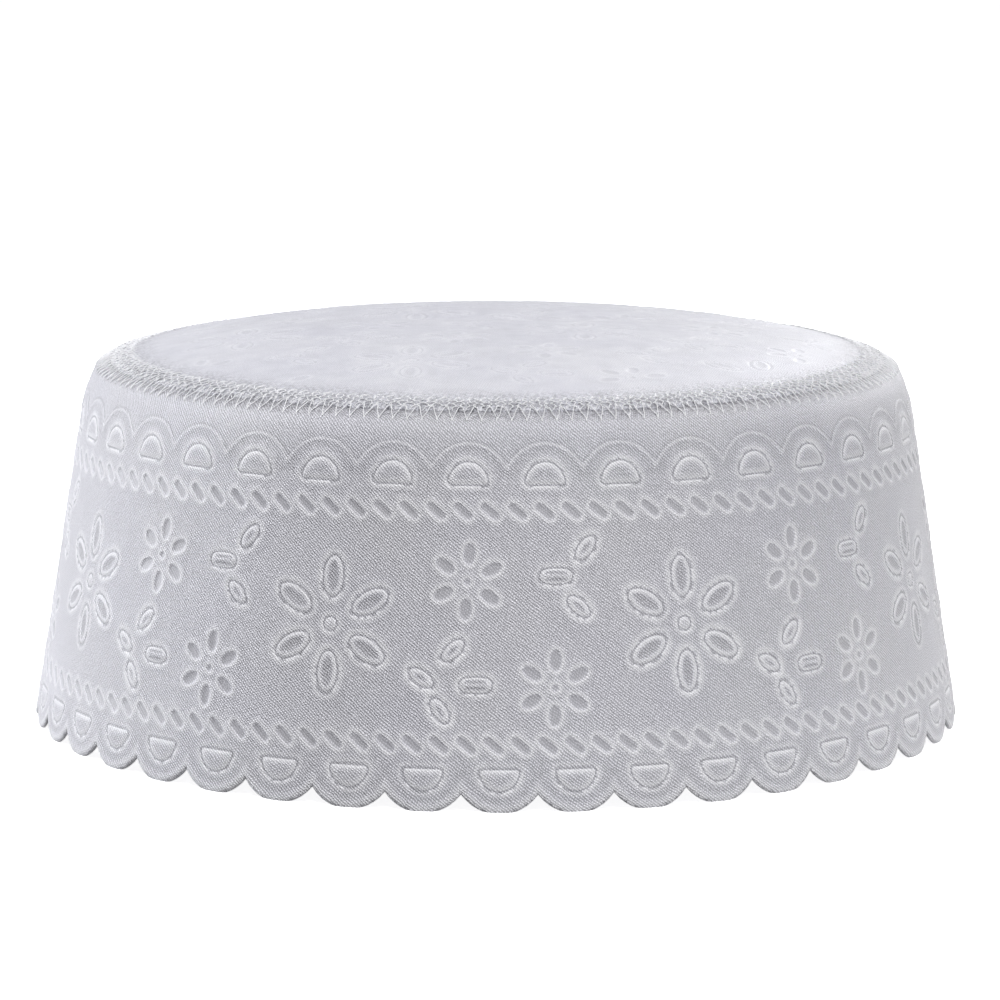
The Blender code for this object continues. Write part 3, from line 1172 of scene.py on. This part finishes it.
def stitch_tree():
    """Turns one stitch's path about the cap's middle as often as asked, and gives it a thread's thickness."""
    tree = bpy.data.node_groups.new("stitches_round_the_edge", "GeometryNodeTree")
    tree.is_modifier = True
    sockets = (
        ("Stitch", "NodeSocketGeometry", None),
        ("Count", "NodeSocketInt", 10),
        ("Thread Radius", "NodeSocketFloat", 0.00015),
        ("Wobble", "NodeSocketFloat", 0.0),
        ("Seed", "NodeSocketInt", 1),
        ("Thread", "NodeSocketMaterial", None),
    )
    for name, kind, default in sockets:
        made = tree.interface.new_socket(name=name, in_out="INPUT", socket_type=kind)
        if default is not None:
            made.default_value = default
    tree.interface.new_socket(name="Stitches", in_out="OUTPUT", socket_type="NodeSocketGeometry")
    given = tree.nodes.new("NodeGroupInput")
    out = tree.nodes.new("NodeGroupOutput")
    points = tree.nodes.new("GeometryNodePoints")
    tree.links.new(given.outputs["Count"], points.inputs["Count"])
    index = tree.nodes.new("GeometryNodeInputIndex")
    whole_turns = maths(tree, "MULTIPLY", index.outputs[0], 2.0 * math.pi)
    turn = maths(tree, "DIVIDE", whole_turns, given.outputs["Count"])
    spin = tree.nodes.new("ShaderNodeCombineXYZ")
    tree.links.new(turn, spin.inputs["Z"])
    copies = tree.nodes.new("GeometryNodeInstanceOnPoints")
    tree.links.new(points.outputs[0], copies.inputs["Points"])
    tree.links.new(given.outputs["Stitch"], copies.inputs["Instance"])
    tree.links.new(spin.outputs[0], copies.inputs["Rotation"])
    real = tree.nodes.new("GeometryNodeRealizeInstances")
    path = tree.nodes.new("GeometryNodeInputPosition")
    stray = add_node(tree, "ShaderNodeTexNoise", noise_dimensions="4D", Scale=1300.0, Detail=1.0)
    tree.links.new(path.outputs[0], stray.inputs["Vector"])
    tree.links.new(given.outputs["Seed"], stray.inputs["W"])
    centred = add_node(tree, "ShaderNodeVectorMath", operation="SUBTRACT")
    centred.inputs[1].default_value = (0.5, 0.5, 0.5)
    tree.links.new(stray.outputs["Color"], centred.inputs[0])
    scaled = add_node(tree, "ShaderNodeVectorMath", operation="SCALE")
    flatter = add_node(tree, "ShaderNodeVectorMath", operation="MULTIPLY")
    flatter.inputs[1].default_value = (1.0, 1.0, 0.4)
    tree.links.new(centred.outputs[0], flatter.inputs[0])
    tree.links.new(flatter.outputs[0], scaled.inputs[0])
    tree.links.new(given.outputs["Wobble"], scaled.inputs["Scale"])
    moved = tree.nodes.new("GeometryNodeSetPosition")
    tree.links.new(scaled.outputs[0], moved.inputs["Offset"])
    ring = tree.nodes.new("GeometryNodeCurvePrimitiveCircle")
    ring.inputs["Resolution"].default_value = 6
    tree.links.new(given.outputs["Thread Radius"], ring.inputs["Radius"])
    tube = tree.nodes.new("GeometryNodeCurveToMesh")
    tube.inputs["Fill Caps"].default_value = True
    tree.links.new(ring.outputs[0], tube.inputs["Profile Curve"])
    smooth = tree.nodes.new("GeometryNodeSetShadeSmooth")
    finish = tree.nodes.new("GeometryNodeSetMaterial")
    tree.links.new(given.outputs["Thread"], finish.inputs["Material"])
    link_geometry(tree, copies, real, moved, tube, smooth, finish, out)
    return tree


def path_object(name, paths):
    """A curve object with one open, straight-sided spline for each path of points in millimetres."""
    curve = bpy.data.curves.new(name, "CURVE")
    curve.dimensions = "3D"
    for path in paths:
        spline = curve.splines.new("POLY")
        spline.points.add(len(path) - 1)
        for point, place in zip(spline.points, path):
            point.co = (place[0] * MM, place[1] * MM, place[2] * MM, 1.0)
    made = bpy.data.objects.new(name, curve)
    bpy.context.scene.collection.objects.link(made)
    return made


def applied(source, tree, values, name):
    """The plain mesh that a Geometry Nodes tree makes of an object, which is then removed."""
    modifier = source.modifiers.new("make", "NODES")
    modifier.node_group = tree
    for item in tree.interface.items_tree:
        if item.item_type == "SOCKET" and item.in_out == "INPUT" and item.name in values:
            modifier[item.identifier] = values[item.name]
    bpy.context.view_layer.update()
    evaluated = source.evaluated_get(bpy.context.evaluated_depsgraph_get())
    mesh = bpy.data.meshes.new_from_object(evaluated)
    mesh.name = name
    bpy.data.objects.remove(source, do_unlink=True)
    return mesh


def edge_place(radius, shift, lift):
    """A point near the crown's edge at the front, at a radius, shifted along the edge and lifted off it."""
    if radius <= CROWN_RADIUS:
        height = float(crown_surface(np.array(0.0), np.array(-radius))[2])
    else:
        climbs = np.linspace(64.0, LAP_END, 200)
        wall = band_surface(np.zeros(200), climbs)
        height = float(np.interp(radius, -wall[::-1, 1], wall[::-1, 2]))
    angle = shift / CROWN_RADIUS
    return radius * math.sin(angle), -radius * math.cos(angle), height + lift


def zigzag_paths():
    """One stitch of the zigzag that binds the crown's edge to the band: up over the edge and down again."""
    step = STITCH_PITCH / 2.0
    foot = ZIGZAG["foot_radius"]
    up = (
        (foot, 0.0, 0.0),
        (foot - 0.35, 0.1, 0.2),
        (ZIGZAG["shoulder_radius"], 0.4, 0.25),
        (CROWN_RADIUS + 0.25, 0.72, 0.75),
        (CROWN_RADIUS - 0.3, 0.84, 0.18),
    )
    down = tuple((radius, 2.0 - share, lift) for radius, share, lift in reversed(up))
    rows = up + ((ZIGZAG["top_radius"], 1.0, 0.05),) + down
    return [[edge_place(radius, step * share, lift) for radius, share, lift in rows]]


def overlock_paths():
    """One repeat of the crown's binding thread: a slanting dash and rows of short crossing threads."""
    inner = OVERLOCK_RADIUS
    edge = CROWN_RADIUS + 0.1
    dash = ((1.3, -0.5, -0.1), (0.8, -0.3, 0.18), (0.0, 0.2, 0.18), (-0.5, 0.5, -0.1))
    paths = [[edge_place(inner + outwards, shift, lift) for outwards, shift, lift in dash]]
    for row in range(5):
        for side in (-1.0, 1.0):
            middle = inner + 0.7 + row * (edge - inner - 1.2) / 4.0
            shift = STITCH_PITCH * (0.25 + 0.5 * (row % 2) + 0.25 * side)
            shares = np.linspace(-0.5, 0.5, 4)
            radii = np.minimum(middle + shares, edge)
            lifts = 0.02 + 0.10 * np.cos(math.pi * shares)
            paths.append([edge_place(*point) for point in zip(radii, shift + side * shares * 0.9, lifts)])
    return paths


def back_seam_paths():
    """Short straight stitches up both sides of the back seam."""
    paths = []
    for side in (-1.0, 1.0):
        for climb in np.arange(BACK_STITCHES["first"], BACK_STITCHES["last"], STITCH_PITCH):
            across = side * (CHART_WIDTH / 2.0 - BACK_STITCHES["from_seam"])
            climbs = climb + np.array([0.0, 0.25, 1.75, 2.0])
            lifts = np.array([-0.15, 0.2, 0.2, -0.15])
            paths.append(raised(band_surface, np.full(4, across), climbs, lifts).tolist())
    return paths


def sew(scene, name, paths, count, wobble, seed):
    """Makes one piece of like stitches, turned about the cap's middle as often as asked."""
    thread = bpy.data.materials.get("white_thread") or thread_material(scene.cap_colours.thread)
    tree = bpy.data.node_groups.get("stitches_round_the_edge") or stitch_tree()
    values = {
        "Count": count,
        "Thread Radius": scene.cap_sizes.thread_radius,
        "Wobble": scene.cap_sizes.stitch_wobble * wobble,
        "Seed": seed,
        "Thread": thread,
    }
    mesh = applied(path_object(name, paths), tree, values, name)
    show(name, mesh, None, thread)


# Operators, one for each piece or group of like pieces and one for the stage


class MakeBand(bpy.types.Operator):
    """Make the embossed satin band with its scalloped hem"""

    bl_idname = "cap.make_band"
    bl_label = "Make Band"

    def execute(self, context):
        scene = context.scene
        pitch = scene.cap_sizes.line_pitch
        material = satin_material("band_satin", scene.cap_colours.band, pitch, **BAND_SATIN)
        show("cap_band", band_mesh(scene.cap_sizes), "side_band", material)
        return {"FINISHED"}


class MakeCrown(bpy.types.Operator):
    """Make the embossed satin crown"""

    bl_idname = "cap.make_crown"
    bl_label = "Make Crown"

    def execute(self, context):
        scene = context.scene
        pitch = scene.cap_sizes.line_pitch
        material = satin_material("crown_satin", scene.cap_colours.crown, pitch, **CROWN_SATIN)
        show("cap_crown", crown_mesh(scene.cap_sizes), "crown", material)
        return {"FINISHED"}


class SewEdge(bpy.types.Operator):
    """Sew the crown's edge down with a bound edge and a zigzag over it"""

    bl_idname = "cap.sew_edge"
    bl_label = "Sew Crown Edge"

    def execute(self, context):
        count = round(2.0 * math.pi * CROWN_RADIUS / STITCH_PITCH)
        sew(context.scene, "zigzag_stitches", zigzag_paths(), count, wobble=2.2, seed=3)
        sew(context.scene, "overlock_stitches", overlock_paths(), count, wobble=6.0, seed=8)
        return {"FINISHED"}


class SewBackSeam(bpy.types.Operator):
    """Sew the band's back seam with a row of stitches at each side"""

    bl_idname = "cap.sew_back_seam"
    bl_label = "Sew Back Seam"

    def execute(self, context):
        sew(context.scene, "back_seam_stitches", back_seam_paths(), 1, wobble=0.0, seed=5)
        return {"FINISHED"}


def softbox(name, place, aim, size, power, colour):
    """A rectangular area light at a place, turned to a point. The camera doesn't see it."""
    light = bpy.data.lights.new(name, "AREA")
    light.shape = "RECTANGLE"
    light.size, light.size_y = size
    light.energy = power
    light.color = colour
    made = bpy.data.objects.new(name, light)
    made.location = place
    direction = Vector(aim) - Vector(place)
    made.rotation_euler = direction.to_track_quat("-Z", "Y").to_euler()
    made.visible_camera = False
    bpy.context.scene.collection.objects.link(made)


def floor_material(colour):
    material = bpy.data.materials.new("studio_floor")
    material.use_nodes = True
    tree = material.node_tree
    shader = tree.nodes["Principled BSDF"]
    place = tree.nodes.new("ShaderNodeTexCoord")
    paper = add_node(tree, "ShaderNodeTexNoise", Scale=600.0, Detail=2.0)
    tree.links.new(place.outputs["Object"], paper.inputs["Vector"])
    bump = add_node(tree, "ShaderNodeBump", Strength=0.05, Distance=0.0001)
    tree.links.new(paper.outputs["Fac"], bump.inputs["Height"])
    tree.links.new(bump.outputs["Normal"], shader.inputs["Normal"])
    shader.inputs["Base Color"].default_value = colour
    shader.inputs["Roughness"].default_value = 0.9
    shader.inputs["Emission Color"].default_value = colour
    shader.inputs["Emission Strength"].default_value = FLOOR_GLOW
    return material


# The lights: name, place, aim, size, power, colour
SOFTBOXES = (
    ("key_above", (0.06, -0.64, 1.15), (0.0, 0.0, 0.05), (0.5, 0.4), 15.2, (1.0, 1.0, 1.0)),
    ("side_left", (-1.05, 0.42, 0.20), (0.0, 0.0, 0.04), (0.4, 0.6), 10.6, (0.94, 0.955, 1.0)),
    ("back_right", (0.60, 1.05, 0.45), (0.0, 0.0, 0.06), (0.8, 0.4), 7.9, (1.0, 1.0, 1.0)),
    ("front_right", (0.95, -0.70, 0.25), (0.0, 0.0, 0.03), (0.5, 0.4), 0.9, (1.0, 1.0, 1.0)),
    ("low_right", (0.165, -0.10, 0.01), (0.09, -0.03, 0.0), (0.08, 0.015), 0.030, (1.0, 1.0, 1.0)),
    ("low_front", (0.02, -0.185, 0.01), (0.02, -0.09, 0.0), (0.16, 0.015), 0.011, (1.0, 1.0, 1.0)),
    ("shoulder_left", (-0.17, -0.03, 0.115), (-0.083, -0.01, 0.065), (0.05, 0.05), 0.018, (0.97, 0.98, 1.0)),
)


class SetStage(bpy.types.Operator):
    """Set the floor, the lights and the camera"""

    bl_idname = "cap.set_stage"
    bl_label = "Set Stage"

    def execute(self, context):
        scene = context.scene
        mesh = bpy.data.meshes.new("floor")
        work = bmesh.new()
        bmesh.ops.create_grid(work, x_segments=1, y_segments=1, size=FLOOR_HALF_SIZE)
        work.to_mesh(mesh)
        work.free()
        mesh.materials.append(floor_material(scene.cap_colours.floor))
        floor = bpy.data.objects.new("floor", mesh)
        scene.collection.objects.link(floor)
        floor.visible_diffuse = False
        floor.visible_shadow = False
        world = bpy.data.worlds.new("studio")
        world.use_nodes = True
        background = world.node_tree.nodes["Background"]
        background.inputs["Color"].default_value = (0.95, 0.95, 1.0, 1.0)
        background.inputs["Strength"].default_value = SKY_STRENGTH
        scene.world = world
        for name, place, aim, size, power, colour in SOFTBOXES:
            softbox(name, place, aim, size, power, colour)
        scene.view_settings.view_transform = "Standard"
        camera = bpy.data.cameras.new("camera")
        camera.lens = CAMERA_LENS
        camera.sensor_width = SENSOR_WIDTH
        camera.dof.use_dof = False
        camera.clip_end = 100.0
        made = bpy.data.objects.new("camera", camera)
        back = CAMERA_DISTANCE * math.cos(CAMERA_ELEVATION)
        up = CAMERA_DISTANCE * math.sin(CAMERA_ELEVATION)
        made.location = (0.0, -back, CAMERA_PIVOT_HEIGHT + up)
        look = (Vector(CAMERA_AIM) - made.location).to_track_quat("-Z", "Y")
        roll = Euler((0.0, 0.0, CAMERA_ROLL)).to_quaternion()
        made.rotation_euler = (look @ roll).to_euler()
        scene.collection.objects.link(made)
        scene.camera = made
        return {"FINISHED"}


class CapPanel(bpy.types.Panel):
    """Lists the cap's sizes, colours and making steps"""

    bl_idname = "VIEW3D_PT_cap"
    bl_label = "Cap"
    bl_space_type = "VIEW_3D"
    bl_region_type = "UI"
    bl_category = "Cap"

    def draw(self, context):
        layout = self.layout
        for group in (context.scene.cap_sizes, context.scene.cap_colours):
            for name in group.__annotations__:
                layout.prop(group, name)
        for operator in OPERATORS:
            layout.operator(operator.bl_idname)


OPERATORS = (SetStage, MakeBand, MakeCrown, SewEdge, SewBackSeam)
CLASSES = (CapSizes, CapColours) + OPERATORS + (CapPanel,)


def register():
    for item in CLASSES:
        bpy.utils.register_class(item)
    bpy.types.Scene.cap_sizes = bpy.props.PointerProperty(type=CapSizes)
    bpy.types.Scene.cap_colours = bpy.props.PointerProperty(type=CapColours)


def unregister():
    del bpy.types.Scene.cap_colours
    del bpy.types.Scene.cap_sizes
    for item in reversed(CLASSES):
        bpy.utils.unregister_class(item)


def main():
    register()
    bpy.ops.cap.set_stage()
    bpy.ops.cap.make_band()
    bpy.ops.cap.make_crown()
    bpy.ops.cap.sew_edge()
    bpy.ops.cap.sew_back_seam()


if __name__ == "__main__":
    main()
